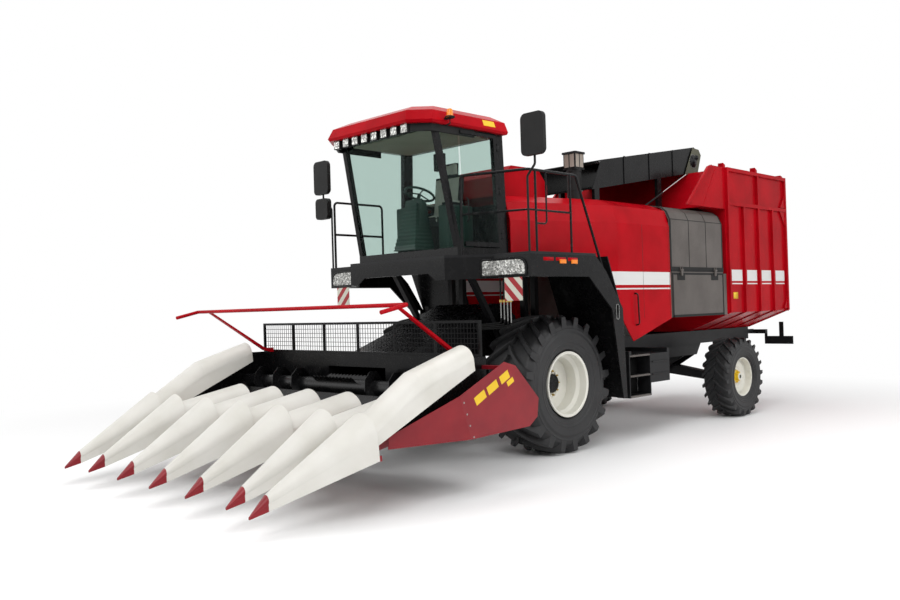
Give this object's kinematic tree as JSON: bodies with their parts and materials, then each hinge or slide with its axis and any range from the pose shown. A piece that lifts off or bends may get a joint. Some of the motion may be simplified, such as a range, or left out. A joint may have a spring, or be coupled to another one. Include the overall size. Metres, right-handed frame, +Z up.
{
  "type": "self-propelled corn harvester",
  "caption": "Self-propelled ear-corn harvester with a snouted row header on a lifting feeder, a cab on a deck, faceted engine covers and a ribbed rear hopper.",
  "frame": {"origin": "middle of the bounding box's bottom face, on the ground under the middle of the machine", "axes": "+X the machine's left side, -Y the way it drives (row header at the -Y end), +Z up"},
  "size_m": [4.8, 12.14, 4.56],
  "materials": {
    "tyre": "black rubber, satin",
    "cream_rim": "gloss cream white",
    "dark_frame": "satin black",
    "cast_engine": "as cast, painted grey",
    "black_paint": "gloss black",
    "red_paint": "gloss deep red, white band along the sides",
    "glass": "clear, slightly green",
    "black_plastic": "matt black",
    "white_plastic": "moulded off-white, semi-gloss",
    "tip_red": "dark red, satin",
    "chrome": "polished rod",
    "lamp": "clear lens over a reflector",
    "amber": "amber lens",
    "grey_mesh": "grey punched sheet",
    "striped_plate": "white with red slanted stripes",
    "seat_cloth": "dark woven seat cloth",
    "dark_green_plastic": "dark green moulded"
  },
  "bodies": {
    "chassis": {"front_axle": "dark_frame", "rear_axle": "dark_frame", "chassis_rails": "dark_frame", "cross_members": "dark_frame", "towers": "dark_frame", "engine_block": "cast_engine", "platform": "dark_frame", "bumper": "black_paint", "fender_left": "black_paint", "fender_right": "black_paint", "ladder": "dark_frame", "railings": "black_paint", "cab_shell": "black_paint", "cab_roof": "red_paint", "cab_glass": "glass", "side_cover_left": "red_paint", "side_cover_right": "red_paint", "engine_deck": "red_paint", "mesh_panel_left": "grey_mesh", "mesh_panel_right": "grey_mesh", "hopper": "red_paint", "conveyor_trough": "black_paint", "conveyor_sides": "black_paint", "air_intake": "black_paint", "cooling_housing": "red_paint", "mirrors": "black_plastic", "rear_lamp_bar": "dark_frame", "lamps": "lamp", "amber_lamps": "amber", "warning_plates": "striped_plate", "driver_seat": "seat_cloth", "steering_column": "dark_green_plastic"},
    "header": {"feeder_house": "black_paint", "header_frame": "black_paint", "header_screen": "black_paint", "row_hoods": "white_plastic", "outer_hoods": "white_plastic", "snouts": "white_plastic", "snout_tips": "tip_red", "side_shields": "tip_red", "deflector_bar": "tip_red", "row_units": "tip_red"},
    "auger": {"header_auger": "black_paint"},
    "front_wheel_left": {"front_tyre_left": "tyre", "front_rim_left": "cream_rim"},
    "front_wheel_right": {"front_tyre_right": "tyre", "front_rim_right": "cream_rim"},
    "rear_wheel_left": {"rear_tyre_left": "tyre", "rear_rim_left": "cream_rim"},
    "rear_wheel_right": {"rear_tyre_right": "tyre", "rear_rim_right": "cream_rim"},
    "steer_left": {"knuckle_left": "dark_frame"},
    "steer_right": {"knuckle_right": "dark_frame"},
    "door": {"cab_door": "black_paint", "door_glass": "glass"},
    "tailgate": {"tailgate": "red_paint"},
    "flap_left": {"mesh_flap_left": "grey_mesh"},
    "flap_right": {"mesh_flap_right": "grey_mesh"},
    "lift_barrels": {"lift_barrels": "dark_frame"},
    "lift_rods": {"lift_rods": "chrome"}
  },
  "joints": [
    {"name": "header_lift", "type": "hinge", "parent": "chassis", "child": "header", "pos_m": [0, -1.13, 1.76], "axis": [-1, 0, 0], "range_deg": [-1.8, 14]},
    {"name": "auger_turn", "type": "hinge", "parent": "header", "child": "auger", "pos_m": [0, -3.52, 1.02], "axis": [-1, 0, 0], "continuous": true},
    {"name": "front_wheel_left_turn", "type": "hinge", "parent": "chassis", "child": "front_wheel_left", "pos_m": [1.18, -0.98, 0.907], "axis": [-1, 0, 0], "continuous": true},
    {"name": "front_wheel_right_turn", "type": "hinge", "parent": "chassis", "child": "front_wheel_right", "pos_m": [-1.18, -0.98, 0.907], "axis": [-1, 0, 0], "continuous": true},
    {"name": "steering_left", "type": "hinge", "parent": "chassis", "child": "steer_left", "pos_m": [1.09, 3.636, 0.657], "axis": [0, 0, 1], "range_deg": [-30, 30]},
    {"name": "steering_right", "type": "hinge", "parent": "chassis", "child": "steer_right", "pos_m": [-1.09, 3.636, 0.657], "axis": [0, 0, 1], "range_deg": [-30, 30]},
    {"name": "rear_wheel_left_turn", "type": "hinge", "parent": "steer_left", "child": "rear_wheel_left", "pos_m": [1.45, 3.636, 0.657], "axis": [-1, 0, 0], "continuous": true},
    {"name": "rear_wheel_right_turn", "type": "hinge", "parent": "steer_right", "child": "rear_wheel_right", "pos_m": [-1.45, 3.636, 0.657], "axis": [-1, 0, 0], "continuous": true},
    {"name": "cab_door_swing", "type": "hinge", "parent": "chassis", "child": "door", "pos_m": [0.98499, -1.57, 2.70084], "axis": [-0.0338, 0, 0.9994], "range_deg": [0, 75]},
    {"name": "tailgate_swing", "type": "hinge", "parent": "chassis", "child": "tailgate", "pos_m": [0, 5.82, 4.1], "axis": [1, 0, 0], "range_deg": [0, 70]},
    {"name": "flap_left_swing", "type": "hinge", "parent": "chassis", "child": "flap_left", "pos_m": [1.526, 2.495, 2.424], "axis": [0, -1, 0], "range_deg": [0, 80]},
    {"name": "flap_right_swing", "type": "hinge", "parent": "chassis", "child": "flap_right", "pos_m": [-1.526, 2.495, 2.424], "axis": [0, 1, 0], "range_deg": [0, 80]},
    {"name": "lift_barrel_swing", "type": "hinge", "parent": "chassis", "child": "lift_barrels", "pos_m": [0, -0.72, 0.62], "axis": [-1, 0, 0], "range_deg": [-12, 12]},
    {"name": "lift_rod_slide", "type": "slide", "parent": "lift_barrels", "child": "lift_rods", "axis": [0, -0.9767, 0.2147], "range_m": [-0.05, 0.35]}
  ],
  "couplings": [
    {"joint": "steering_right", "follows": "steering_left", "ratio": 1},
    {"joint": "lift_barrel_swing", "follows": "header_lift", "ratio": 0.5471},
    {"joint": "lift_rod_slide", "follows": "header_lift", "m_per_rad": 0.99096}
  ]
}
